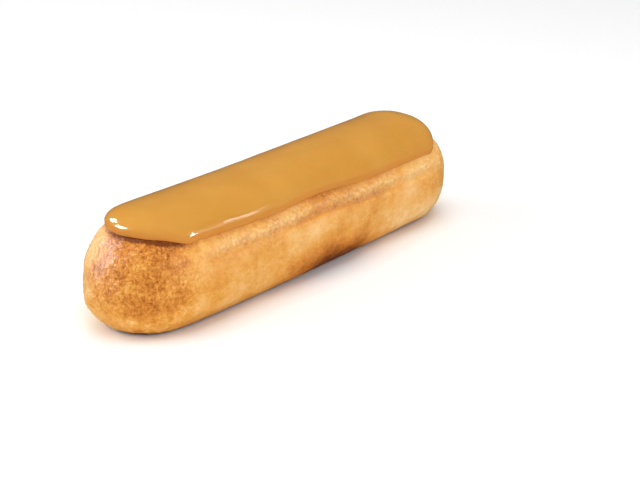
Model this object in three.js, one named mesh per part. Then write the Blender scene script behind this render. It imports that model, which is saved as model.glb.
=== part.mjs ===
// A coffee eclair: a finger of baked choux pastry with a thick sheet of glossy fondant icing on top.
// Millimetres, +Z up. X runs along the eclair, whose flat underside lies at Z = 0. The left end in
// these comments is the one at -X, and the front is the long side at -Y.

import * as THREE from "three";
import { mergeVertices } from "three/addons/utils/BufferGeometryUtils.js";

// ---- Driving dimensions ------------------------------------------------------------------------

const PASTRY_LENGTH = 140;
const PASTRY_WIDTH = 35.7;
const PASTRY_HEIGHT = 29.1; // without the icing
const ICING_THICKNESS = 3.2; // measured straight down
const ICING_WIDTH = 28.7; // halfway along, edge to edge
const ICING_LEFT = -57.5; // where its left edge crosses the corners, along X
const ICING_RIGHT = 60;
const ICING_GAP = 0.3; // clear space under the icing

// ---- Choux pastry ------------------------------------------------------------------------------
// Piped as one long finger, it bakes into a rounded loaf with a flat underside. Its level of
// greatest width is a little below the middle, and the whole finger bends slightly to the front.

const BELLY = 0.42; // height of the widest level, as a share of the pastry's height
const CROWN_FULLNESS = 2.35; // superellipse exponent of a section above the belly, 2 is an ellipse
const BASE_FULLNESS = 2.3; // and below it
const BASE_CUT = 1.2; // the lower curve is drawn this much too deep, then cut flat at the table
const WIDTH_GAIN = 0.02; // the right end is this share wider than the left, over the full length
const HEIGHT_LOSS = 0.02; // and this share lower
const BEND = 1.5; // sideways bow of the finger's middle line
const BEND_BALANCE = 0.33; // share of the bow taken off everywhere, so that the bow stays centred

// How each end rounds off: over which length, and how full, seen from above and from the side.
const LEFT_END = { plan: { reach: 24.9, fullness: 2 }, side: { reach: 17, fullness: 2.02 } };
const RIGHT_END = { plan: { reach: 19, fullness: 2.23 }, side: { reach: 17, fullness: 2.11 } };

// Where the crust tore open in the oven, a low rim runs along each side just under the icing, and a
// shallow furrow runs below the rim.
const RIM = { drop: 2.1, height: 0.45, spread: 0.95 }; // drop: how far under the icing's edge
const FURROW = { drop: 4.4, height: -0.42, spread: 0.8 };
const SEAM_LEFT = -44; // the torn seam fades out at these places along X
const SEAM_RIGHT = 56;
const SEAM_FADE = 9;

// Broad dents and swellings of the crust, as crossed waves along and round the finger.
const SWELLS = [
  { height: 0.22, alongPeriod: 47, roundTurns: 2, phase: 0.6 },
  { height: 0.16, alongPeriod: 29, roundTurns: -3, phase: 2.1 },
  { height: 0.1, alongPeriod: 17, roundTurns: 5, phase: 4.4 },
  { height: 0.07, alongPeriod: 11, roundTurns: -6, phase: 1.2 },
];
const SWELL_FOOT = 7; // the swellings die away from this height down to the flat underside
const NARROWEST = 1e-6; // a section is never taken as narrower than this
const SMOOTH_TIP = 0.5; // the relief fades out where an end is narrower than this share of the width

const RING_COUNT = 96; // rings along the finger
const FLAT_STEPS = 5; // steps round each stretch of a ring, counted on one side of it
const LOWER_STEPS = 6;
const SEAM_STEPS = 8;
const CROWN_STEPS = 4;

// The share of its full size that a section keeps where the end rounds off.
function roundOff(depth, end) {
  const into = THREE.MathUtils.clamp(1 - depth / end.reach, 0, 1);
  return Math.pow(1 - Math.pow(into, end.fullness), 1 / end.fullness);
}

function endShare(x, view) {
  const fromLeft = PASTRY_LENGTH / 2 + x;
  const fromRight = PASTRY_LENGTH / 2 - x;
  return roundOff(fromLeft, LEFT_END[view]) * roundOff(fromRight, RIGHT_END[view]);
}

const bowAt = (x) => BEND * (Math.pow((2 * x) / PASTRY_LENGTH, 2) - BEND_BALANCE);

// The half width, the height and the belly level of the section at x.
function sectionSizes(x) {
  const along = x / PASTRY_LENGTH;
  const height = PASTRY_HEIGHT * (1 - HEIGHT_LOSS * along);
  return {
    halfWidth: (PASTRY_WIDTH / 2) * (1 + WIDTH_GAIN * along) * endShare(x, "plan"),
    belly: BELLY * height,
    rise: (1 - BELLY) * height * endShare(x, "side"),
    fall: BELLY * BASE_CUT * height * endShare(x, "side"),
  };
}

// Height of the smooth crust above the table, over the point (x, y) of the upper half.
function crustHeight(x, y) {
  const { halfWidth, belly, rise } = sectionSizes(x);
  const across = Math.min(Math.abs(y - bowAt(x)) / Math.max(halfWidth, NARROWEST), 1);
  const cosine = Math.pow(across, CROWN_FULLNESS / 2);
  return belly + rise * Math.pow(Math.sqrt(1 - cosine * cosine), 2 / CROWN_FULLNESS);
}

const bump = (distance, spread) => Math.exp(-Math.pow(distance / spread, 2));

// How far the crust stands out at a point: the seam and the swells, but none of them under the icing.
function crustRelief(x, y, z, angle) {
  const edge = bowAt(x) + (Math.cos(angle) < 0 ? -icingReach(x, -1) : icingReach(x, 1));
  const below = crustHeight(x, edge) - z;
  const seam =
    RIM.height * bump(below - RIM.drop, RIM.spread) +
    FURROW.height * bump(below - FURROW.drop, FURROW.spread);
  const seamShare =
    THREE.MathUtils.smoothstep(x, SEAM_LEFT - SEAM_FADE, SEAM_LEFT + SEAM_FADE) *
    (1 - THREE.MathUtils.smoothstep(x, SEAM_RIGHT - SEAM_FADE, SEAM_RIGHT + SEAM_FADE));
  let swell = 0;
  for (const { height, alongPeriod, roundTurns, phase } of SWELLS)
    swell += height * Math.sin((2 * Math.PI * x) / alongPeriod + roundTurns * angle + phase);
  swell *= THREE.MathUtils.smoothstep(z, 0, SWELL_FOOT);
  return (seam * seamShare + swell) * (1 - underIcing(x, y, z));
}

// One point of the crust. The angle turns from the back of the finger over its crown to the front.
function crustPoint(x, angle) {
  const { halfWidth, belly, rise, fall } = sectionSizes(x);
  const upper = Math.sin(angle) > 0;
  const fullness = upper ? CROWN_FULLNESS : BASE_FULLNESS;
  const cosine = Math.pow(Math.abs(Math.cos(angle)), 2 / fullness) * Math.sign(Math.cos(angle));
  const sine = Math.pow(Math.abs(Math.sin(angle)), 2 / fullness) * Math.sign(Math.sin(angle));
  const y = bowAt(x) + halfWidth * cosine;
  const z = belly + (upper ? rise : fall) * sine;
  const relief = crustRelief(x, y, z, angle) * Math.min(endShare(x, "plan") / SMOOTH_TIP, 1);
  return new THREE.Vector3(
    x,
    y + relief * Math.cos(angle),
    Math.max(z + relief * Math.sin(angle), 0),
  );
}

// Angles round a ring, closer together where the seam is.
function ringAngles() {
  const stretches = [
    [-90, -55, FLAT_STEPS],
    [-55, 8, LOWER_STEPS],
    [8, 42, SEAM_STEPS],
    [42, 90, CROWN_STEPS],
  ];
  const right = stretches.flatMap(([from, to, steps]) =>
    Array.from({ length: steps }, (_, i) => from + ((to - from) * i) / steps),
  );
  const left = right.map((degrees) => 180 - degrees);
  const all = [...right, 90, ...left.slice(1).reverse()];
  return all.map(THREE.MathUtils.degToRad);
}

function chouxGeometry() {
  const angles = ringAngles();
  const vertices = [];
  const faces = [];
  const count = angles.length;
  for (let i = 1; i <= RING_COUNT; i++) {
    // Rings crowd towards both ends, where the surface turns fastest.
    const turn = Math.PI * (i / (RING_COUNT + 1) - 0.5);
    const x = (PASTRY_LENGTH / 2) * Math.sin(turn);
    for (const angle of angles) vertices.push(crustPoint(x, angle));
  }
  for (let ring = 0; ring < RING_COUNT - 1; ring++)
    for (let k = 0; k < count; k++) {
      const a = ring * count + k;
      const b = ring * count + ((k + 1) % count);
      faces.push(a, b, b + count, a, b + count, a + count);
    }
  const tips = [-1, 1].map((side) => {
    const x = (side * PASTRY_LENGTH) / 2;
    return vertices.push(new THREE.Vector3(x, bowAt(x), sectionSizes(x).belly)) - 1;
  });
  const lastRing = (RING_COUNT - 1) * count;
  for (let k = 0; k < count; k++) {
    const next = (k + 1) % count;
    faces.push(tips[0], next, k);
    faces.push(tips[1], lastRing + k, lastRing + next);
  }
  return closedGeometry(vertices, faces);
}

// ---- Fondant icing -----------------------------------------------------------------------------
// A sheet of fondant dipped or laid on the crown. It follows the crust, its edge ends in a rounded
// lip, and its short ends bow outwards.

const ICING_WIDTH_GAIN = 0.17; // the right end is this share wider than the left
const LEFT_BOW = 8.2; // how far a short end bows out, from its corners to its middle
const RIGHT_BOW = 3.8;
const CORNER = { frontLeft: 7.1, frontRight: 5.4, backRight: 5.9, backLeft: 7.4 }; // radii
const TIGHTEST_CORNER = 0.3; // radius that the corners of the inner rings keep at least
const CORNER_ROOM = 0.1; // straight stretch left between two corners of a ring
const BOW_SHARPNESS = 6; // the bow of a short end dies away within this power of the length
const FRONT_SAG = { amount: 0.55, at: -5, spread: 40 }; // the front edge ran down a little here
const FRONT_DRAWN = { amount: 0.86, at: 1, spread: 13 }; // and drew back here
const LIP_OUT = 0.25; // the lip's nose stands out this far past the sheet's foot
const LIP_FOOT = 0.45; // the foot is tucked in this far
const LIP_ROLL = 1.9; // the nose rolls into the top over this distance
const LIP_FULLNESS = 2.8; // superellipse exponent of the lip's section
const LIP_STEPS = 7;
const TOP_INSETS = [3.4, 5.6, 8.2, 10.6, 12.6]; // rings of the top, from the lip to the crown
const UNDER_INSETS = [3.4, 6.6, 9.8, 12.6]; // and of the underside
const EDGE_STEPS = 30; // steps along a long edge
const SHORT_STEPS = 5;
const CORNER_STEPS = 7;
const FADE_OUTSIDE = 1.2; // the crust's relief fades out from this far outside the icing's edge
const FADE_INSIDE = 0.2; // to this far under it

const ICING_MIDDLE = (ICING_LEFT + ICING_RIGHT) / 2;
const ICING_HALF_LENGTH = (ICING_RIGHT - ICING_LEFT) / 2;

const sagAt = (x) =>
  FRONT_SAG.amount * bump(x - FRONT_SAG.at, FRONT_SAG.spread) -
  FRONT_DRAWN.amount * bump(x - FRONT_DRAWN.at, FRONT_DRAWN.spread);

// How far the sheet reaches from the eclair's middle line, to the front (side -1) or to the back.
function icingReach(x, side) {
  const halfWidth = (ICING_WIDTH / 2) * (1 + (ICING_WIDTH_GAIN * x) / PASTRY_LENGTH);
  return side < 0 ? halfWidth + sagAt(x) : halfWidth;
}

// 1 under the icing and 0 clear of it, for a point of the upper crust.
function underIcing(x, y, z) {
  if (z < PASTRY_HEIGHT * BELLY) return 0;
  const sideways = icingReach(x, Math.sign(y - bowAt(x))) - Math.abs(y - bowAt(x));
  const bow = x < ICING_MIDDLE ? LEFT_BOW : RIGHT_BOW;
  const lengthways = ICING_HALF_LENGTH + bow / 2 - Math.abs(x - ICING_MIDDLE);
  return THREE.MathUtils.smoothstep(Math.min(sideways, lengthways), -FADE_OUTSIDE, FADE_INSIDE);
}

// A plain rectangle with round corners, drawn inset from the sheet's foot. It is then bent into the
// sheet's own outline, so that every inset gives the same number of points.
function icingOutline(inset) {
  const halfWidth = ICING_WIDTH / 2 - inset;
  const left = ICING_LEFT + inset;
  const right = ICING_RIGHT - inset;
  const widest = halfWidth - CORNER_ROOM;
  const radius = (full) => THREE.MathUtils.clamp(full - inset / 2, TIGHTEST_CORNER, widest);
  const corners = [
    { x: left, y: -halfWidth, r: radius(CORNER.frontLeft), inX: 1, inY: 1, start: 180 },
    { x: right, y: -halfWidth, r: radius(CORNER.frontRight), inX: -1, inY: 1, start: 270 },
    { x: right, y: halfWidth, r: radius(CORNER.backRight), inX: -1, inY: -1, start: 0 },
    { x: left, y: halfWidth, r: radius(CORNER.backLeft), inX: 1, inY: -1, start: 90 },
  ];
  const points = [];
  corners.forEach((corner, i) => {
    const centreX = corner.x + corner.inX * corner.r;
    const centreY = corner.y + corner.inY * corner.r;
    for (let k = 0; k <= CORNER_STEPS; k++) {
      const angle = THREE.MathUtils.degToRad(corner.start + (90 * k) / CORNER_STEPS);
      points.push([centreX + corner.r * Math.cos(angle), centreY + corner.r * Math.sin(angle)]);
    }
    const next = corners[(i + 1) % 4];
    const steps = i % 2 === 0 ? EDGE_STEPS : SHORT_STEPS;
    const [fromX, fromY] = points[points.length - 1];
    const toX = i % 2 === 0 ? next.x + next.inX * next.r : next.x;
    const toY = i % 2 === 0 ? next.y : next.y + next.inY * next.r;
    for (let k = 1; k < steps; k++)
      points.push([fromX + ((toX - fromX) * k) / steps, fromY + ((toY - fromY) * k) / steps]);
  });
  return points.map(([x, y]) => bendOutline(x, y, y / halfWidth));
}

function bendOutline(x, y, across) {
  const along = (x - ICING_MIDDLE) / ICING_HALF_LENGTH;
  const bow = along < 0 ? LEFT_BOW : RIGHT_BOW;
  const reach = Math.pow(Math.min(Math.abs(along), 1), BOW_SHARPNESS);
  const bentX = x + Math.sign(along) * bow * (0.5 - across * across) * reach;
  const sag = sagAt(bentX) * Math.pow(Math.max(-across, 0), 2);
  const widened = y * (1 + (ICING_WIDTH_GAIN * bentX) / PASTRY_LENGTH);
  return [bentX, widened + bowAt(bentX) - sag];
}

function icingGeometry() {
  // Each ring is an inset and a height above the crust, from the middle of the underside, round the
  // lip and up to the crown.
  const rings = UNDER_INSETS.map((inset) => ({ inset, lift: ICING_GAP })).reverse();
  for (let k = 0; k <= LIP_STEPS; k++) {
    const turn = Math.PI * (k / LIP_STEPS - 0.5);
    const back = turn < 0 ? LIP_FOOT : LIP_ROLL;
    const out = Math.pow(Math.max(Math.cos(turn), 0), 2 / LIP_FULLNESS);
    const level = Math.pow(Math.abs(Math.sin(turn)), 2 / LIP_FULLNESS) * Math.sign(turn);
    rings.push({
      inset: back - (back + LIP_OUT) * out,
      lift: ICING_GAP + ((ICING_THICKNESS - ICING_GAP) * (1 + level)) / 2,
    });
  }
  for (const inset of TOP_INSETS) rings.push({ inset, lift: ICING_THICKNESS });

  const vertices = [];
  const faces = [];
  const foot = icingOutline(0);
  const count = foot.length;
  for (const { inset, lift } of rings)
    icingOutline(inset).forEach(([x, y], i) => {
      // Outside the foot the sheet keeps the foot's level instead of following the crust down.
      const [overX, overY] = inset < 0 ? foot[i] : [x, y];
      vertices.push(new THREE.Vector3(x, y, crustHeight(overX, overY) + lift));
    });
  for (let ring = 0; ring < rings.length - 1; ring++)
    for (let k = 0; k < count; k++) {
      const a = ring * count + k;
      const b = ring * count + ((k + 1) % count);
      faces.push(a, b, b + count, a, b + count, a + count);
    }
  const flat = (ring) =>
    vertices.slice(ring * count, (ring + 1) * count).map((v) => new THREE.Vector2(v.x, v.y));
  const lastRing = rings.length - 1;
  for (const [a, b, c] of THREE.ShapeUtils.triangulateShape(flat(0), [])) faces.push(a, c, b);
  for (const triangle of THREE.ShapeUtils.triangulateShape(flat(lastRing), []))
    faces.push(...triangle.map((k) => k + lastRing * count));
  return closedGeometry(vertices, faces);
}

// ---- Put together ------------------------------------------------------------------------------

const MERGE_DISTANCE = 1e-4;

function closedGeometry(vertices, faces) {
  const geometry = new THREE.BufferGeometry();
  geometry.setFromPoints(vertices);
  geometry.setIndex(faces);
  const merged = mergeVertices(geometry, MERGE_DISTANCE);
  merged.computeVertexNormals();
  return merged;
}

function piece(name, geometry, material) {
  const mesh = new THREE.Mesh(geometry, material);
  mesh.name = name;
  return mesh;
}

const bakedCrust = new THREE.MeshStandardMaterial({ color: "#dd9d55", roughness: 0.62, metalness: 0 });
const glossyFondant = new THREE.MeshStandardMaterial({ color: "#d69a45", roughness: 0.2, metalness: 0 });

const eclair = new THREE.Group();
eclair.add(piece("choux_pastry", chouxGeometry(), bakedCrust));
eclair.add(piece("fondant_icing", icingGeometry(), glossyFondant));

// The origin lies in the middle of the underside, below the middle of the whole eclair's box.
const box = new THREE.Box3().setFromObject(eclair);
const middle = box.getCenter(new THREE.Vector3());
eclair.position.set(-middle.x, -middle.y, -box.min.z);

export default eclair;
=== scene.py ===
# A coffee eclair: a finger of baked choux pastry under a thick sheet of glossy fondant icing.
# Metres, +Z up, in the frame of the solids. X runs along the eclair. The left end in these comments
# is the one at -X, and the front is the long side at -Y.

import math
from types import SimpleNamespace

import bpy
import numpy as np
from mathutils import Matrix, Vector, noise


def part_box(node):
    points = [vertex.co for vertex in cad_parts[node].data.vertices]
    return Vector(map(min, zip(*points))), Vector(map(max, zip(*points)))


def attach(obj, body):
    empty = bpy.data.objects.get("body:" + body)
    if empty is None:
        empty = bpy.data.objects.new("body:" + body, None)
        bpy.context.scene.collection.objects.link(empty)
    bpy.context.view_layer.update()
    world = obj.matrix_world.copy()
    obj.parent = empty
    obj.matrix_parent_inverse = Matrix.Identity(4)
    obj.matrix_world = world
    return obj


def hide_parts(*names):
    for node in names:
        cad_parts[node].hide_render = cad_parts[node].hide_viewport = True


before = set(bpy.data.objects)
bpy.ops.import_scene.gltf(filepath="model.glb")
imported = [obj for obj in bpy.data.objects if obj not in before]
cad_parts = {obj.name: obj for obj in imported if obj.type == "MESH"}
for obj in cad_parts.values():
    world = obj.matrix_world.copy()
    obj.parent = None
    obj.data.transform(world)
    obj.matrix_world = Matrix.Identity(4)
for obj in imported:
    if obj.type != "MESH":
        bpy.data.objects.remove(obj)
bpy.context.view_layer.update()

# ---- Choux pastry ------------------------------------------------------------------------------
# One finger of choux dough, piped in a single stroke and baked until it puffs into a rounded loaf
# with a thin, grainy, golden crust. It stands on the flat base it baked on. A pale, beaded rim of
# torn dough runs along each side just under the icing, with a browned furrow below it.

# Sizes are in millimetres of a 140 mm eclair, and MM turns them into the frame's metres.
LENGTH = 140.0
crust_low, crust_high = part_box("choux_pastry")
MM = (crust_high.x - crust_low.x) / LENGTH
WIDTH = 35.7
HEIGHT = 29.1
BELLY = 0.42  # height of the widest level, as a share of the height
CROWN_FULLNESS = 2.35  # superellipse exponent of a section above the belly, and below it
BASE_FULLNESS = 2.3
BASE_CUT = 1.2  # the lower curve is drawn this much too deep, then pressed flat
BASE_ROLL = 0.8  # size of the soft turn from the side into the flat base
WIDTH_GAIN = 0.02  # from the left end to the right one, as a share
HEIGHT_LOSS = 0.02
BEND = 1.5  # the middle bows to the front by this much, against the two ends
BEND_BALANCE = 0.33
# How each end rounds off, from above and from the side: over which length, and how full.
LEFT_END = {"plan": (24.9, 2.0), "side": (17.0, 2.02)}
RIGHT_END = {"plan": (19.0, 2.23), "side": (17.0, 2.11)}

RIM = {"drop": 2.1, "height": 0.45, "spread": 0.95}  # drop: how far under the icing's edge
FURROW = {"drop": 4.4, "height": -0.42, "spread": 0.8}
SEAM_LEFT = -44.0
SEAM_RIGHT = 56.0
SEAM_FADE = 9.0
SWELLS = (  # height, period along the finger, turns round it, phase
    (0.22, 47, 2, 0.6),
    (0.16, 29, -3, 2.1),
    (0.10, 17, 5, 4.4),
    (0.07, 11, -6, 1.2),
)
SWELL_FOOT = 7.0  # swellings die away from this height down to the flat base
SMOOTH_TIP = 0.5  # relief fades out where an end is narrower than this share of the width

RINGS = 400
SECTORS = 228
FINE_STEPS = 7201  # of the outlines that the points are spaced out along
BASE_SHARE = 0.45  # points on the hidden base lie this much less densely than on the crust
BASE_LEVEL = 0.3  # and what lies lower than this is base

SEAM_WANDER = 0.5  # the seam wanders up and down by about this much
BEAD_SIZE = 1.05  # beads of torn dough along the rim
BEAD_HEIGHT = 0.4
BEAD_BAND = 1.9
BEAD_DROP = 0.3  # the band of beads lies this much lower than the rim
GRAIN_SIZE = 1.15  # pimples of the crust, strongest on the browned ends
GRAIN_HEIGHT = 0.24
WRINKLE_SIZE = 3.4  # shallow puckers of the skin, stretched along the finger
WRINKLE_HEIGHT = 0.15
PIT_SIZE = 2.6  # pits in the base, left by steam under the dough
PIT_DEPTH = 0.25
PEBBLE_REACH = 0.62  # half the width of a bead or grain, as a share of its size
MEAN_GRAIN = 0.4  # beads and grain stand out above this level of theirs, and sink in below it
LEFT_BROWNED = (-59, -45)  # the browned skin of each end fades out between these places
RIGHT_BROWNED = (50, 66)
RIGHT_SHARE = 0.7  # the right end is this much as coarse as the left one
BASE_TURN = (0.2, 1.2)  # heights over which the base turns into the sides

# Baked tone runs from 0 for pale dough to 1 for the darkest crust. Painted shadow, shade and
# sheen are laid into it too.
MEAN_TONE = 0.42
CORNER_TONE = {"left": 0.2, "right": 0.1}
CORNER_OUT = 10.2  # the darker corners of the ends lie this far to either side
# A painted shadow low on the front, just right of the middle.
FRONT_SHADOW = {"x": 6, "length": 19, "z": 2, "height": 8, "tone": 0.57}
FOOT = {"z": 0.45, "height": 0.5, "tone": 0.5}  # a dark line along the foot, just above the floor
BASE_TONE = 0.12
FURROW_TONE = 0.16
EDGE_GAP = 0.1  # the painted shade line and bands under the icing's lip start this far outside its edge
# Painted shade under the icing's overhanging lip: a thin dark line all round, a wider band on the
# left end and a band along the middle.
LIP_SHADE_LINE = {"width": 0.7, "tone": 0.1, "left_tone": 0.56}
LIP_SHADE_BAND = {"width": 2.2, "left_tone": 0.11}
MIDDLE_LIP_SHADE = {"x": 5, "length": 11, "width": 2.4, "tone": 0.2}
# Browner and paler patches, listed: along the sides by place and spread along X, height
# and its spread, and change of tone, and round the left end by place and spread along Y.
SIDE_PATCHES = (
    (-38, 8, 15, 5, 0.12),
    (-26, 8, 10, 5, -0.06),
    (-5, 8, 13.5, 3.5, -0.16),
    (1, 7, 16, 5, -0.08),
    (16, 10, 14.5, 2.8, -0.1),
    (17, 9, 12, 3, -0.07),
)
LEFT_PATCHES = (
    (-9, 3.5, 20, 3, -0.11),
    (-8, 4.5, 12, 3.5, 0.12),
    (-7.5, 2.5, 6.5, 3, -0.12),
    (-5, 3, 12, 3, 0.08),
    (0, 3.5, 23, 2.5, 0.06),
    (1, 5, 4.5, 3.5, -0.16),
    (4.5, 2, 10.5, 3, -0.12),
)


def smoothstep(value, low, high):
    t = np.clip((value - low) / (high - low), 0, 1)
    return t * t * (3 - 2 * t)


def bump(distance, spread):
    return np.exp(-((distance / spread) ** 2))


def end_share(x, view):
    """The share of its full size that a section keeps where the ends round off."""
    share = 1.0
    for outwards, end in ((-1, LEFT_END), (1, RIGHT_END)):
        reach, fullness = end[view]
        into = np.clip(1 - (LENGTH / 2 - outwards * x) / reach, 0, 1)
        share = share * (1 - into**fullness) ** (1 / fullness)
    return share


def bow_at(x):
    return BEND * ((2 * x / LENGTH) ** 2 - BEND_BALANCE)


def section_sizes(x):
    """Half width, belly level, and the rise above it and fall below it, of the section at x."""
    height = HEIGHT * (1 - HEIGHT_LOSS * x / LENGTH)
    side = end_share(x, "side")
    half_width = WIDTH / 2 * (1 + WIDTH_GAIN * x / LENGTH) * end_share(x, "plan")
    return half_width, BELLY * height, (1 - BELLY) * height * side, BELLY * BASE_CUT * height * side


def crust_height(x, y):
    """Height of the smooth crust over the point (x, y) of its upper half."""
    half_width, belly, rise, _ = section_sizes(x)
    across = np.clip(np.abs(y - bow_at(x)) / np.maximum(half_width, 1e-6), 0, 1)
    cosine = across ** (CROWN_FULLNESS / 2)
    return belly + rise * np.sqrt(1 - cosine**2) ** (2 / CROWN_FULLNESS)


def smooth_crust(x, angle):
    """The crust without its relief. The angle turns from the back over the crown to the front."""
    half_width, belly, rise, fall = section_sizes(x)
    sine, cosine = np.sin(angle), np.cos(angle)
    fullness = np.where(sine > 0, CROWN_FULLNESS, BASE_FULLNESS)
    y = bow_at(x) + half_width * np.sign(cosine) * np.abs(cosine) ** (2 / fullness)
    z = belly + np.where(sine > 0, rise, -fall) * np.abs(sine) ** (2 / fullness)
    pressed = (z + np.sqrt(z * z + BASE_ROLL**2)) / 2
    lift = (np.sqrt(z * z + BASE_ROLL**2) - np.abs(z)) / 2
    return y, np.where(z > 0, pressed - lift, 0.5 * lift * np.exp(z / BASE_ROLL))


def even_angles(count):
    """Angles that lie evenly round the middle section, and thinner on its base."""
    fine = np.linspace(-math.pi / 2, 1.5 * math.pi, FINE_STEPS)
    y, z = smooth_crust(np.zeros_like(fine), fine)
    density = np.where((z[1:] + z[:-1]) / 2 < BASE_LEVEL, BASE_SHARE, 1.0)
    travelled = np.concatenate(([0.0], np.cumsum(np.hypot(np.diff(y), np.diff(z)) * density)))
    return np.interp(np.arange(count) / count * travelled[-1], travelled, fine)


def even_places(count):
    """Places along X that lie evenly along the finger's outline seen from above."""
    fine = LENGTH / 2 * np.sin(np.linspace(-math.pi / 2, math.pi / 2, FINE_STEPS))
    half_width = WIDTH / 2 * end_share(fine, "plan")
    travelled = np.concatenate(([0.0], np.cumsum(np.hypot(np.diff(fine), np.diff(half_width)))))
    return np.interp(np.arange(1, count + 1) / (count + 1) * travelled[-1], travelled, fine)


def grid_normals(points):
    """Outward normals of a grid of points: rings along the first axis, closed round the second."""
    along = np.gradient(points, axis=0)
    around = np.roll(points, -1, axis=1) - np.roll(points, 1, axis=1)
    normals = np.cross(around, along)
    return normals / np.maximum(np.linalg.norm(normals, axis=2, keepdims=True), 1e-12)


def waves(points, size, shift):
    """Rolling noise from -1 to 1, with features about size across. Each use has its own shift."""
    flat = points.reshape(-1, 3) / size + shift
    return np.array([noise.noise(Vector(p)) for p in flat]).reshape(points.shape[:-1])


def pebbles(points, size, shift):
    """Rounded grains from 0 between them to 1 on their tops, about size across."""
    flat = points.reshape(-1, 3) / size + shift
    near = np.array([noise.voronoi(Vector(p))[0][0] for p in flat]).reshape(points.shape[:-1])
    return np.clip(1 - (near / PEBBLE_REACH) ** 2, 0, 1)


def make_piece(name, vertices, faces, values):
    """A smooth mesh object from points in millimetres, with one stored number a vertex for each
    named value, which its material reads."""
    mesh = bpy.data.meshes.new(name)
    mesh.from_pydata((np.asarray(vertices) * MM).tolist(), [], faces)
    mesh.update()
    mesh.shade_smooth()
    for key, value in values.items():
        attribute = mesh.attributes.new(key, "FLOAT", "POINT")
        attribute.data.foreach_set("value", np.asarray(value, np.float32))
    piece = bpy.data.objects.new(name, mesh)
    bpy.context.scene.collection.objects.link(piece)
    return piece


# The icing's outline is needed here too, because the crust is smooth under it.
ICING_WIDTH = 28.7
ICING_WIDTH_GAIN = 0.17
ICING_LEFT = -57.5
ICING_RIGHT = 60.0
LEFT_BOW = 8.2  # how far a short end bows out, from its corners to its middle
RIGHT_BOW = 3.8
# The front edge ran out a little as the fondant set, and drew back near the middle.
SAG = {"by": 0.55, "x": -5.0, "length": 40.0}
DRAWN = {"by": 0.86, "x": 1.0, "length": 13.0}
FADE_OUTSIDE = 1.2  # relief fades out from this far outside the icing's edge to this far inside
FADE_INSIDE = 0.2
FAR_OUT = 50.0  # stands for any distance from the icing on the lower half of the crust
CORNER_ROUND = 6.0  # radius of the corners of that edge, near enough for the fading
ICING_MIDDLE = (ICING_LEFT + ICING_RIGHT) / 2
ICING_HALF_LENGTH = (ICING_RIGHT - ICING_LEFT) / 2


def sag_at(x):
    """How far the front edge reaches past its straight line."""
    drawn = DRAWN["by"] * bump(x - DRAWN["x"], DRAWN["length"])
    return SAG["by"] * bump(x - SAG["x"], SAG["length"]) - drawn


def icing_reach(x, front):
    """How far the sheet reaches from the middle line, to the front or to the back."""
    return ICING_WIDTH / 2 * (1 + ICING_WIDTH_GAIN * x / LENGTH) + np.where(front, sag_at(x), 0)


def past_icing(x, y, z):
    """How far a point of the crust lies outside the icing's edge, seen from above."""
    across = y - bow_at(x)
    sideways = np.abs(across) - icing_reach(x, across < 0)
    bow = np.where(x < ICING_MIDDLE, LEFT_BOW, RIGHT_BOW)
    end_line = ICING_HALF_LENGTH + bow * (0.5 - (across / (ICING_WIDTH / 2)) ** 2)
    lengthways = np.abs(x - ICING_MIDDLE) - end_line
    out_sideways = np.maximum(sideways + CORNER_ROUND, 0)
    out_lengthways = np.maximum(lengthways + CORNER_ROUND, 0)
    inside = np.minimum(np.maximum(sideways, lengthways) + CORNER_ROUND, 0)
    past = np.hypot(out_sideways, out_lengthways) - CORNER_ROUND + inside
    return np.where(z < HEIGHT * BELLY, FAR_OUT, past)


def crust_places():
    """The smooth crust's points, and where each of them lies."""
    x, angle = np.meshgrid(even_places(RINGS), even_angles(SECTORS), indexing="ij")
    y, z = smooth_crust(x, angle)
    at = SimpleNamespace(x=x, y=y, z=z, angle=angle, points=np.stack((x, y, z), axis=-1))
    at.past = past_icing(x, y, z)
    at.underneath = 1 - smoothstep(z, *BASE_TURN)
    at.left_end = 1 - smoothstep(x, *LEFT_BROWNED)
    at.right_end = smoothstep(x, *RIGHT_BROWNED)
    at.ends = np.maximum(at.left_end, RIGHT_SHARE * at.right_end)
    return at


def add_seam(at):
    """The torn seam, at a steady drop below the icing's edge: rim, furrow and band of beads."""
    front = np.cos(at.angle) < 0
    edge = bow_at(at.x) + np.where(front, -1, 1) * icing_reach(at.x, front)
    below = crust_height(at.x, edge) - at.z - SEAM_WANDER * waves(at.points, 14.0, 3.0)
    share = smoothstep(at.x, SEAM_LEFT - SEAM_FADE, SEAM_LEFT + SEAM_FADE)
    share = share * (1 - smoothstep(at.x, SEAM_RIGHT - SEAM_FADE, SEAM_RIGHT + SEAM_FADE))
    at.rim = bump(below - RIM["drop"], RIM["spread"]) * share
    at.furrow = bump(below - FURROW["drop"], FURROW["spread"]) * share
    torn = 0.45 + 0.55 * smoothstep(waves(at.points, 12.0, 49.0), -0.4, 0.1)
    at.beaded = bump(below - RIM["drop"] - BEAD_DROP, BEAD_BAND) * share * torn


def crust_relief(at):
    """How far the crust stands out: swellings, seam, beads, grain, puckers and base pits."""
    swell = 0.0
    for height, period, turns, phase in SWELLS:
        swell = swell + height * np.sin(2 * math.pi * at.x / period + turns * at.angle + phase)
    grain = GRAIN_HEIGHT * (at.grain - MEAN_GRAIN) * (0.15 + 0.85 * at.ends)
    pucker = WRINKLE_HEIGHT * waves(at.points * (0.45, 1, 1), WRINKLE_SIZE, 21.0)
    relief = RIM["height"] * at.rim + FURROW["height"] * at.furrow
    relief = relief + swell * smoothstep(at.z, 0, SWELL_FOOT)
    relief = relief + BEAD_HEIGHT * (at.beads - MEAN_GRAIN) * at.beaded
    relief = relief + (grain + pucker) * (1 - at.underneath)
    clear = smoothstep(at.past, -FADE_INSIDE, FADE_OUTSIDE)
    tips = np.minimum(end_share(at.x, "plan") / SMOOTH_TIP, 1)
    pits = PIT_DEPTH * pebbles(at.points, PIT_SIZE, 31.0) * at.underneath
    return relief * clear * tips - pits


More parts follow.
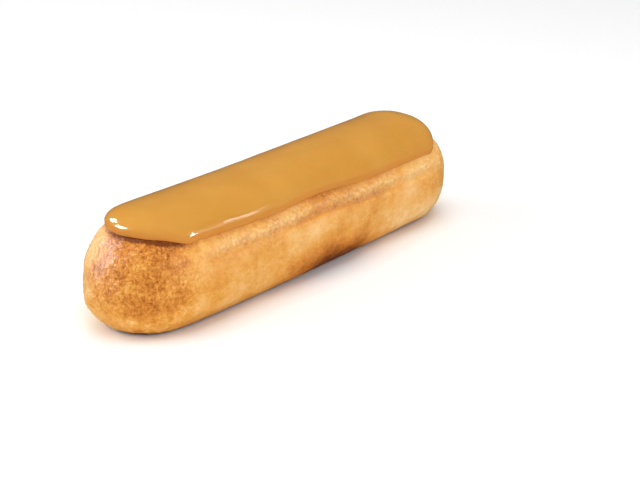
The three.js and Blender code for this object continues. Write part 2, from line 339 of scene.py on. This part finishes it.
def patches(at):
    """Change of the baked tone by the listed patches, and by broad fades between them."""
    x, y, z = at.x, at.y, at.z
    browning_and_painted_light = 0.0
    for place, spread, height, tall, change in SIDE_PATCHES:
        browning_and_painted_light = browning_and_painted_light + change * bump(x - place, spread) * bump(z - height, tall)
    for place, spread, height, tall, change in LEFT_PATCHES:
        patch = bump(y - place, spread) * bump(z - height, tall)
        browning_and_painted_light = browning_and_painted_light + change * at.left_end * patch
    # Low on the sides the crust is paler to the left and to the right of the painted shadow in the
    # middle.
    browning_and_painted_light = browning_and_painted_light - 0.26 * smoothstep(x, 18, 32) * bump(z - 6, 6)
    browning_and_painted_light = browning_and_painted_light - 0.08 * (1 - smoothstep(x, -20, 0)) * (1 - at.left_end) * bump(z - 7, 6)
    # High up it is a little browner on the left and pales towards the right end.
    browning_and_painted_light = browning_and_painted_light + 0.05 * (1 - smoothstep(x, 14, 24)) * bump(z - 20, 2.5)
    browning_and_painted_light = browning_and_painted_light - 0.12 * smoothstep(x, 34, 52) * smoothstep(z, 12, 20)
    browning_and_painted_light = browning_and_painted_light - 0.08 * smoothstep(x, 24, 36) * bump(z - 22, 2.2)
    # The left end pales towards the back, which is painted sheen, browns up to the icing and has a
    # light chin.
    painted_sheen = 0.2 * smoothstep(y, 3, 9) + 0.08 * smoothstep(y, -2, 5) * smoothstep(z, 14, 20)
    brown_top = 0.16 * bump(y - 0.5, 5) * smoothstep(z, 12, 19) + 0.06
    return browning_and_painted_light + at.left_end * (brown_top - painted_sheen - 0.12 * bump(z - 4.5, 3.5))


def tone_with_painted_light(at, points):
    """The corners of the ends took the most heat and the foot is darker. Low on the front lies a
    painted shadow, and painted shade runs round under the icing's lip."""
    x, y, z = at.x, at.y, at.z
    corner_lines = np.abs(y) - CORNER_OUT - 2 * smoothstep(z, 13, 20)
    corners = bump(corner_lines, 3.0) * smoothstep(z, 4, 10)
    drifting = waves(points, 7.0, 45.0)
    # The painted shadow low on the front.
    front_shadow = bump(x - FRONT_SHADOW["x"] - 3 * drifting, FRONT_SHADOW["length"]) * smoothstep(-y, 0, 6)
    front_shadow = front_shadow * bump(z - FRONT_SHADOW["z"] - 1.5 * drifting, FRONT_SHADOW["height"])
    # The painted shade under the lip is strongest at the front and fades to a third at the back.
    lip_shade_share = 0.3 + 0.7 * (1 - smoothstep(y, -3, 8))
    from_edge = np.maximum(at.past - EDGE_GAP, 0)
    lip_shade_line = bump(from_edge, LIP_SHADE_LINE["width"]) * lip_shade_share
    lip_shade_band = bump(from_edge, LIP_SHADE_BAND["width"]) * lip_shade_share
    middle_lip_shade = bump(from_edge, MIDDLE_LIP_SHADE["width"])
    middle_lip_shade = middle_lip_shade * bump(x - MIDDLE_LIP_SHADE["x"], MIDDLE_LIP_SHADE["length"])
    furrow = at.furrow * smoothstep(x, -28, -6) * (1 - smoothstep(x, 26, 38))

    browning_and_painted_light = MEAN_TONE + patches(at) + 0.12 * waves(points, 10.0, 41.0)
    browning_and_painted_light = browning_and_painted_light + (0.07 + 0.08 * at.ends) * waves(points, 3.0, 43.0)
    browning_and_painted_light = browning_and_painted_light + 0.07 * waves(points * (0.6, 1, 1), 1.4, 61.0)
    left_corners = at.left_end * corners * (0.5 + 0.5 * smoothstep(z, 3, 9))
    browning_and_painted_light = browning_and_painted_light + CORNER_TONE["left"] * left_corners
    browning_and_painted_light = browning_and_painted_light + CORNER_TONE["right"] * at.right_end * corners
    browning_and_painted_light = browning_and_painted_light + (LIP_SHADE_LINE["tone"] + LIP_SHADE_LINE["left_tone"] * at.left_end) * lip_shade_line
    browning_and_painted_light = browning_and_painted_light + LIP_SHADE_BAND["left_tone"] * at.left_end * lip_shade_band + MIDDLE_LIP_SHADE["tone"] * middle_lip_shade
    browning_and_painted_light = browning_and_painted_light + FOOT["tone"] * bump(z - FOOT["z"], FOOT["height"])
    browning_and_painted_light = browning_and_painted_light + FRONT_SHADOW["tone"] * front_shadow
    browning_and_painted_light = browning_and_painted_light + BASE_TONE * at.underneath + FURROW_TONE * furrow
    return browning_and_painted_light - 0.16 * (at.grain - MEAN_GRAIN) * (0.2 + 0.8 * at.ends)


def crust_surface():
    """The crust's points with all their relief, and the values that its colours follow: the baked
    tone with painted shadow, shade and sheen laid in, how far pale torn dough shows, also as
    painted sheen on the left end, and how coarse and gleaming the skin is."""
    at = crust_places()
    add_seam(at)
    at.beads = pebbles(at.points, BEAD_SIZE, 11.0)
    pimples = pebbles(at.points, GRAIN_SIZE, 5.0) - MEAN_GRAIN
    at.grain = MEAN_GRAIN + 0.8 * pimples + 0.4 * waves(at.points, 0.9 * GRAIN_SIZE, 9.0)
    points = at.points + grid_normals(at.points) * crust_relief(at)[..., None]
    points[..., 2] = np.maximum(points[..., 2], 0)

    bead_tops = smoothstep(at.beads + 0.3 * waves(points, 2.2, 53.0), 0.1, 0.8)
    pale = at.beaded * (1 - 0.5 * bump(at.x - MIDDLE_LIP_SHADE["x"], 10)) * (0.35 + 0.65 * bead_tops)
    # Towards the back the left end is mixed with pale dough: partly paler dough, partly painted
    # sheen.
    pale = pale + 0.4 * at.left_end * smoothstep(at.y, 2, 8)
    coarse = at.ends * (0.3 + 0.7 * smoothstep(at.z, 4, 14)) * (1 - 0.4 * smoothstep(at.y, 0, 6))
    matt_patch = at.left_end * bump(at.y - 0.5, 3.5) * smoothstep(at.z, 13, 18)
    coarse = np.maximum(coarse * (1 - 0.45 * matt_patch), 0.6 * at.beaded)
    values = {"browning_and_painted_light": tone_with_painted_light(at, points), "pale": pale, "coarse": coarse}
    return points, {key: np.clip(value, 0, 1) for key, value in values.items()}


def ring_faces(rings, count):
    """Faces between neighbouring rings of so many points each."""
    faces = []
    for ring in range(rings - 1):
        for k in range(count):
            a, b = ring * count + k, ring * count + (k + 1) % count
            faces.append((a, b, b + count, a + count))
    return faces


def closed_grid(rings, count):
    """Faces of a grid of rings, with a fan over the tip at each end. The tips come last."""
    faces = ring_faces(rings, count)
    left_tip, right_tip = rings * count, rings * count + 1
    last = (rings - 1) * count
    for k in range(count):
        following = (k + 1) % count
        faces.append((left_tip, following, k))
        faces.append((right_tip, last + k, last + following))
    return faces


def build_crust():
    points, values = crust_surface()
    tips = []
    for ring, x in ((points[0], -LENGTH / 2), (points[-1], LENGTH / 2)):
        tips.append((x, bow_at(x), ring[:, 2].mean()))
    stored = {}
    for key, value in values.items():
        stored[key] = np.append(value.ravel(), (value[0].mean(), value[-1].mean()))
    vertices = np.concatenate((points.reshape(-1, 3), tips))
    return make_piece("choux_crust", vertices, closed_grid(*points.shape[:2]), stored)


def linear(share):
    return share / 12.92 if share <= 0.04045 else ((share + 0.055) / 1.055) ** 2.4


def tone(red, green, blue):
    """A colour given as seen on screen, 0 to 255, as the linear colour that shaders take."""
    return tuple(linear(value / 255) for value in (red, green, blue)) + (1.0,)


def tone_drift_group():
    """Slow drift and fine specks of tone, as two masks round 0.5, for crust and icing alike."""
    group = bpy.data.node_groups.new("tone_drift", "ShaderNodeTree")
    for label, default in (("Drift Scale", 60.0), ("Speck Scale", 900.0)):
        socket = group.interface.new_socket(label, in_out="INPUT", socket_type="NodeSocketFloat")
        socket.default_value = default
    for label in ("Drift", "Specks"):
        group.interface.new_socket(label, in_out="OUTPUT", socket_type="NodeSocketFloat")
    entry = group.nodes.new("NodeGroupInput")
    leave = group.nodes.new("NodeGroupOutput")
    place = group.nodes.new("ShaderNodeTexCoord")
    for label, detail in (("Drift", 3.0), ("Specks", 2.0)):
        texture = group.nodes.new("ShaderNodeTexNoise")
        texture.inputs["Detail"].default_value = detail
        group.links.new(place.outputs["Object"], texture.inputs["Vector"])
        scale = "Drift Scale" if label == "Drift" else "Speck Scale"
        group.links.new(entry.outputs[scale], texture.inputs["Scale"])
        group.links.new(texture.outputs[0], leave.inputs[label])
    return group


TONE_DRIFT = tone_drift_group()


class Recipe:
    """A new material with its Principled BSDF, and short ways to add and join nodes."""

    def __init__(self, name):
        self.material = bpy.data.materials.new(name)
        self.material.use_nodes = True
        self.tree = self.material.node_tree
        self.shader = next(n for n in self.tree.nodes if n.type == "BSDF_PRINCIPLED")

    def add(self, kind, **settings):
        node = self.tree.nodes.new(kind)
        for key, value in settings.items():
            setattr(node, key, value)
        return node

    def join(self, source, target):
        self.tree.links.new(source, target)

    def feed(self, label, source):
        self.join(source, self.shader.inputs[label])

    def set(self, **values):
        """Plain values on the shader's own sockets."""
        for label, value in values.items():
            self.shader.inputs[label.replace("_", " ")].default_value = value

    def drift(self, drift_size, speck_size):
        """The shared tone drift, with its feature sizes in millimetres."""
        node = self.add("ShaderNodeGroup", node_tree=TONE_DRIFT)
        node.inputs["Drift Scale"].default_value = 1 / (drift_size * MM)
        node.inputs["Speck Scale"].default_value = 1 / (speck_size * MM)
        return node

    def stored(self, name):
        node = self.add("ShaderNodeAttribute", attribute_type="GEOMETRY", attribute_name=name)
        return node.outputs["Fac"]

    def math(self, operation, first, second):
        node = self.add("ShaderNodeMath", operation=operation)
        for socket, value in zip(node.inputs, (first, second)):
            if isinstance(value, (int, float)):
                socket.default_value = value
            else:
                self.join(value, socket)
        return node.outputs[0]

    def ramp(self, source, stops):
        node = self.add("ShaderNodeValToRGB")
        elements = node.color_ramp.elements
        while len(elements) < len(stops):
            elements.new(0.5)
        for element, (position, colour) in zip(elements, stops):
            element.position = position
            element.color = colour
        self.join(source, node.inputs["Fac"])
        return node.outputs["Color"]

    def mix(self, factor, first, second):
        node = self.add("ShaderNodeMix", data_type="RGBA")
        self.join(factor, node.inputs["Factor"])
        self.join(first, node.inputs["A"])
        node.inputs["B"].default_value = second
        return node.outputs["Result"]

    def span(self, source, low, high):
        """Maps a value of 0 to 1 onto low to high."""
        node = self.add("ShaderNodeMapRange")
        node.inputs["To Min"].default_value = low
        node.inputs["To Max"].default_value = high
        self.join(source, node.inputs["Value"])
        return node.outputs["Result"]

    def bump(self, height, distance):
        node = self.add("ShaderNodeBump")
        node.inputs["Distance"].default_value = distance
        self.join(height, node.inputs["Height"])
        self.feed("Normal", node.outputs["Normal"])


BAKED_TONES = (
    (0.05, tone(250, 212, 150)),
    (0.24, tone(242, 186, 110)),
    (0.42, tone(231, 162, 68)),
    (0.60, tone(214, 135, 51)),
    (0.80, tone(178, 100, 18)),
    (1.00, tone(120, 56, 2)),
)
TORN_DOUGH = tone(250, 213, 148)
SKIN_GRAIN = 0.85  # the finest pimples of the crust


def crust_material():
    """Baked tones that carry painted shadow, shade and sheen, pale torn dough that also stands for
    painted sheen on the left end, and pimples that are strongest where it is coarse.
    """
    recipe = Recipe("baked_crust")
    drift = recipe.drift(7.0, 0.45)
    coarse = recipe.span(recipe.stored("coarse"), 0.3, 0.75)
    grains = recipe.add("ShaderNodeTexNoise")
    grains.inputs["Scale"].default_value = 1 / (SKIN_GRAIN * MM)
    grains.inputs["Detail"].default_value = 1.0
    place = recipe.add("ShaderNodeTexCoord")
    recipe.join(place.outputs["Object"], grains.inputs["Vector"])
    hollows = recipe.math("SUBTRACT", grains.outputs[0], 0.5)
    fine = recipe.math("SUBTRACT", drift.outputs["Specks"], 0.5)
    pimples = recipe.math("MULTIPLY", recipe.math("ADD", hollows, fine), coarse)
    specks = recipe.math("MULTIPLY", pimples, 0.8)
    cloud = recipe.math("MULTIPLY", recipe.math("SUBTRACT", drift.outputs["Drift"], 0.5), 0.4)
    # The baked tone with its painted shadow, shade and sheen, plus specks and slow cloud.
    baked = recipe.math("ADD", recipe.math("ADD", recipe.stored("browning_and_painted_light"), specks), cloud)
    crust = recipe.ramp(baked, BAKED_TONES)
    pale = recipe.math("MULTIPLY", recipe.stored("pale"), 0.7)
    recipe.feed("Base Color", recipe.mix(pale, crust, TORN_DOUGH))
    recipe.feed("Roughness", recipe.span(recipe.stored("coarse"), 0.5, 0.36))
    recipe.feed("Coat Weight", recipe.span(recipe.stored("coarse"), 0.0, 0.11))
    recipe.bump(recipe.math("MULTIPLY", pimples, -1.0), 0.28 * MM)
    recipe.set(Subsurface_Weight=0.12, Subsurface_Scale=1.5 * MM)
    recipe.set(Specular_IOR_Level=0.13, Coat_Roughness=0.58)
    return recipe.material


crust = build_crust()
crust.data.materials.append(crust_material())
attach(crust, "root")
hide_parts("choux_pastry")

# ---- Fondant icing -----------------------------------------------------------------------------
# A sheet of warm coffee fondant, laid over the crown in one dip and smoothed with a knife. It set
# glossy, with a thick rounded lip all round that grips the crust and overhangs it a little.

ICING_THICKNESS = 3.2
CORNERS = (7.1, 5.4, 5.9, 7.4)  # radii: front left, front right, back right, back left
SMALLEST_CORNER = 0.3
BOW_SHARPNESS = 6  # exponent that keeps the bow of the short ends out of the long sides
LIP_OUT = 0.25  # the lip overhangs its foot by this much
LIP_FOOT = 0.7  # and rolls in this far under itself, and this far at its top
LIP_ROLL = 1.9
LIP_STEPS = 22
LIP_FULLNESS = 2.8  # superellipse exponent of the lip's section
TOP_RINGS = 44
TOP_SPACING = 1.3  # exponent that draws the rings of the top closer to the lip
UNDER_RINGS = 6
SPINE = 0.5  # half the width of the strip that closes the sheet along its middle
EDGE_STEPS = 250
SHORT_STEPS = 40
CORNER_STEPS = 22
# Slow waves along the front lip, which fade in between these distances from the middle line.
LIP_WAVES = {"height": 0.09, "length": 14.0, "start": -25.0, "fade": (6, 11)}
BEDDED = 0.15  # the sheet is stuck this far into the crust


def icing_outline(inset):
    """The sheet's outline, drawn that far inside its foot: a rectangle with round corners, with
    bowed ends, widened to the right and bent with the finger."""
    half_width = ICING_WIDTH / 2 - inset
    left, right = ICING_LEFT + inset, ICING_RIGHT - inset
    signs = ((left, -1, 1, 1), (right, -1, -1, 1), (right, 1, -1, -1), (left, 1, 1, -1))
    starts = (180, 270, 0, 90)
    corners = []
    for (x, side, in_x, in_y), full, start in zip(signs, CORNERS, starts):
        radius = min(max(full - inset / 2, SMALLEST_CORNER), half_width - 0.1)
        middle = np.array((x + in_x * radius, side * half_width + in_y * radius))
        angle = np.radians(np.linspace(start, start + 90, CORNER_STEPS + 1))
        corners.append(middle + radius * np.stack((np.cos(angle), np.sin(angle)), axis=-1))
    runs = []
    for i, corner in enumerate(corners):
        steps = EDGE_STEPS if i % 2 == 0 else SHORT_STEPS
        share = (np.arange(1, steps) / steps)[:, None]
        runs += [corner, corner[-1] * (1 - share) + corners[(i + 1) % 4][0] * share]
    x, y = np.concatenate(runs).T
    along = (x - ICING_MIDDLE) / ICING_HALF_LENGTH
    across = y / half_width
    bow = np.sign(along) * np.where(along < 0, LEFT_BOW, RIGHT_BOW) * (0.5 - across**2)
    x = x + bow * np.minimum(np.abs(along), 1) ** BOW_SHARPNESS
    sag = sag_at(x) * np.maximum(-across, 0) ** 2
    return x, y * (1 + ICING_WIDTH_GAIN * x / LENGTH) + bow_at(x) - sag


def icing_rings():
    """Insets and heights above the crust, from under the middle, round the lip, to the crown."""
    crown_inset = ICING_WIDTH / 2 - SPINE
    under = np.linspace(crown_inset, LIP_FOOT, UNDER_RINGS + 1)[:-1]
    rings = [(inset, -BEDDED) for inset in under]
    for turn in np.linspace(-math.pi / 2, math.pi / 2, LIP_STEPS + 1):
        back = LIP_FOOT if turn < 0 else LIP_ROLL
        inset = back - (back + LIP_OUT) * max(math.cos(turn), 0) ** (2 / LIP_FULLNESS)
        level = math.copysign(abs(math.sin(turn)) ** (2 / LIP_FULLNESS), turn)
        rings.append((inset, -BEDDED + (ICING_THICKNESS + BEDDED) * (1 + level) / 2))
    spacing = np.linspace(0, 1, TOP_RINGS + 1)[1:] ** TOP_SPACING
    rings += [(LIP_ROLL + (crown_inset - LIP_ROLL) * share, ICING_THICKNESS) for share in spacing]
    return rings


def icing_ripple(points):
    """How far the sheet's surface ripples: faint swells all over, and waves on the front lip that
    break up the bright line on it."""
    ripple = 0.16 * waves(points * (0.5, 1, 1), 13.0, 51.0)
    ripple = ripple + 0.07 * waves(points * (0.6, 1, 1), 5.0, 57.0)
    turns = (points[..., 0] - LIP_WAVES["start"]) / LIP_WAVES["length"]
    fade = smoothstep(-points[..., 1], *LIP_WAVES["fade"])
    return ripple + LIP_WAVES["height"] * np.sin(2 * math.pi * turns) * fade


def sheet_faces(rings, count):
    """Faces of nested rings, closed along the middle below and on top by a strip of rungs."""
    faces = ring_faces(rings, count)
    right_middle = 2 * CORNER_STEPS + EDGE_STEPS + SHORT_STEPS // 2
    for offset, turned in ((0, True), ((rings - 1) * count, False)):
        for step in range(count // 2):
            rung = [(right_middle - step) % count, (right_middle - step - 1) % count]
            rung += [(right_middle + step + 1) % count, (right_middle + step) % count]
            rung = list(dict.fromkeys(offset + k for k in rung))
            if len(rung) > 2:
                faces.append(tuple(rung if turned else reversed(rung)))
    return faces


def build_icing():
    foot = icing_outline(0)
    rings = icing_rings()
    levels = []
    for inset, lift in rings:
        x, y = icing_outline(inset)
        over = foot if inset < 0 else (x, y)
        levels.append(np.stack((x, y, crust_height(*over) + lift), axis=-1))
    points = np.array(levels)
    raised = np.clip(np.array([lift for _, lift in rings])[:, None] / ICING_THICKNESS, 0, 1)
    points[..., 2] += icing_ripple(points) * raised
    rolled = np.broadcast_to(1 - raised, points.shape[:2])
    faces = sheet_faces(*points.shape[:2])
    return make_piece("fondant_sheet", points.reshape(-1, 3), faces, {"rolled": rolled.ravel()})


FONDANT_TONES = ((0.3, tone(203, 142, 58)), (0.7, tone(211, 152, 68)))
LIP_SHADE_AND_REFLECTION = tone(219, 143, 64)  # painted shade and reflection of the orange crust below the lip


def fondant_material():
    """A gloss of two close tones that drift, with a lip painted warmer as shade and crust
    reflection.
    """
    recipe = Recipe("coffee_fondant")
    drift = recipe.drift(16.0, 1.2)
    sheet = recipe.ramp(drift.outputs["Drift"], FONDANT_TONES)
    # The lip is painted warmer: shade and reflection of the crust below it.
    recipe.feed("Base Color", recipe.mix(recipe.stored("rolled"), sheet, LIP_SHADE_AND_REFLECTION))
    recipe.feed("Roughness", recipe.span(drift.outputs["Drift"], 0.15, 0.22))
    recipe.bump(drift.outputs["Specks"], 0.01 * MM)
    recipe.set(Subsurface_Weight=0.2, Subsurface_Scale=0.8 * MM)
    recipe.set(Coat_Weight=0.4, Coat_Roughness=0.04, Specular_IOR_Level=0.06)
    return recipe.material


icing = build_icing()
icing.data.materials.append(fondant_material())
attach(icing, "root")
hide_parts("fondant_icing")

# ---- Studio ------------------------------------------------------------------------------------
# A white card floor in an even white room. Three softboxes, in front, overhead and behind, light
# the eclair. Four more show only as glints in the gloss: they draw the bright spots at the corners
# of the icing and the line along its front lip. Distances in this section are in metres.

FLOOR_SIZE = 6.0
HEART = Vector((0, 0, 0.015))  # the middle of the eclair, which the softboxes face
LIGHT_DISTANCE = 0.9
GLINT_DISTANCE = 2.0
ROOM_LIGHT = 0.3
ROOM_MIRRORED = 0.1
CAMERA_AZIMUTH = -50.15
CAMERA_ELEVATION = 22.0
CAMERA_DISTANCE = 0.4928
CAMERA_AIM = Vector((0.0209, 0.0011, 0.0))
CAMERA_LENS = 91.8


def from_direction(azimuth, elevation):
    """Unit vector from the eclair towards a viewer, with azimuth 0 looking along +Y."""
    a, e = math.radians(azimuth), math.radians(elevation)
    return Vector((math.sin(a) * math.cos(e), -math.cos(a) * math.cos(e), math.sin(e)))


def place(data, name, azimuth, elevation, distance, aim):
    thing = bpy.data.objects.new(name, data)
    back = from_direction(azimuth, elevation)
    thing.location = aim + back * distance
    thing.rotation_euler = back.to_track_quat("Z", "Y").to_euler()
    bpy.context.scene.collection.objects.link(thing)
    return thing


def softbox(name, azimuth, elevation, distance, size, brightness, seen_as):
    """A softbox, width by height, that either lights surfaces or only shows in them as a glint."""
    light = bpy.data.lights.new(name, "AREA")
    light.shape = "RECTANGLE"
    light.size, light.size_y = size
    light.energy = brightness * math.pi * size[0] * size[1]
    box = place(light, name, azimuth, elevation, distance, HEART)
    box.visible_glossy = seen_as != "light"
    box.visible_diffuse = seen_as != "glint"


def white_floor():
    mesh = bpy.data.meshes.new("card_floor")
    half = FLOOR_SIZE / 2
    corners = [(-half, -half, 0), (half, -half, 0), (half, half, 0), (-half, half, 0)]
    mesh.from_pydata(corners, [], [(0, 1, 2, 3)])
    recipe = Recipe("white_card")
    recipe.set(Base_Color=tone(250, 250, 250), Roughness=0.9, Specular_IOR_Level=0.1)
    mesh.materials.append(recipe.material)
    floor = bpy.data.objects.new("card_floor", mesh)
    floor.visible_glossy = False
    bpy.context.scene.collection.objects.link(floor)


white_floor()
softbox("fill_softbox", -25, 30, LIGHT_DISTANCE, (0.6, 0.6), 2.6, "light")
softbox("top_softbox", 0, 88, LIGHT_DISTANCE, (0.8, 0.8), 3.0, "light")
softbox("rear_softbox", -140, 24, LIGHT_DISTANCE, (0.7, 0.5), 3.2, "light")
softbox("left_glint", -124, 24, GLINT_DISTANCE, (1.1, 0.9), 65.0, "glint")
softbox("back_glint", -169, 31, GLINT_DISTANCE, (0.45, 0.6), 80.0, "glint")
softbox("right_glint", 29.5, 7, GLINT_DISTANCE, (0.4, 0.9), 60.0, "glint")
softbox("line_glint", 42, 17.5, GLINT_DISTANCE, (0.2, 0.06), 14.0, "glint")


def white_room():
    """An even white surround, which gloss mirrors only faintly, as between black flags."""
    world = bpy.data.worlds.new("white_room")
    world.use_nodes = True
    nodes, links = world.node_tree.nodes, world.node_tree.links
    room = nodes["Background"]
    room.inputs["Color"].default_value = (1, 1, 1, 1)
    path = nodes.new("ShaderNodeLightPath")
    strength = nodes.new("ShaderNodeMapRange")
    strength.inputs["To Min"].default_value = ROOM_LIGHT
    strength.inputs["To Max"].default_value = ROOM_MIRRORED
    links.new(path.outputs["Is Glossy Ray"], strength.inputs["Value"])
    links.new(strength.outputs["Result"], room.inputs["Strength"])
    return world


bpy.context.scene.world = white_room()
bpy.context.scene.view_settings.view_transform = "Standard"

lens = bpy.data.cameras.new("camera")
lens.lens = CAMERA_LENS
lens.sensor_width = 36.0
lens.clip_start = 0.01
bpy.context.scene.camera = place(
    lens, "camera", CAMERA_AZIMUTH, CAMERA_ELEVATION, CAMERA_DISTANCE, CAMERA_AIM
)
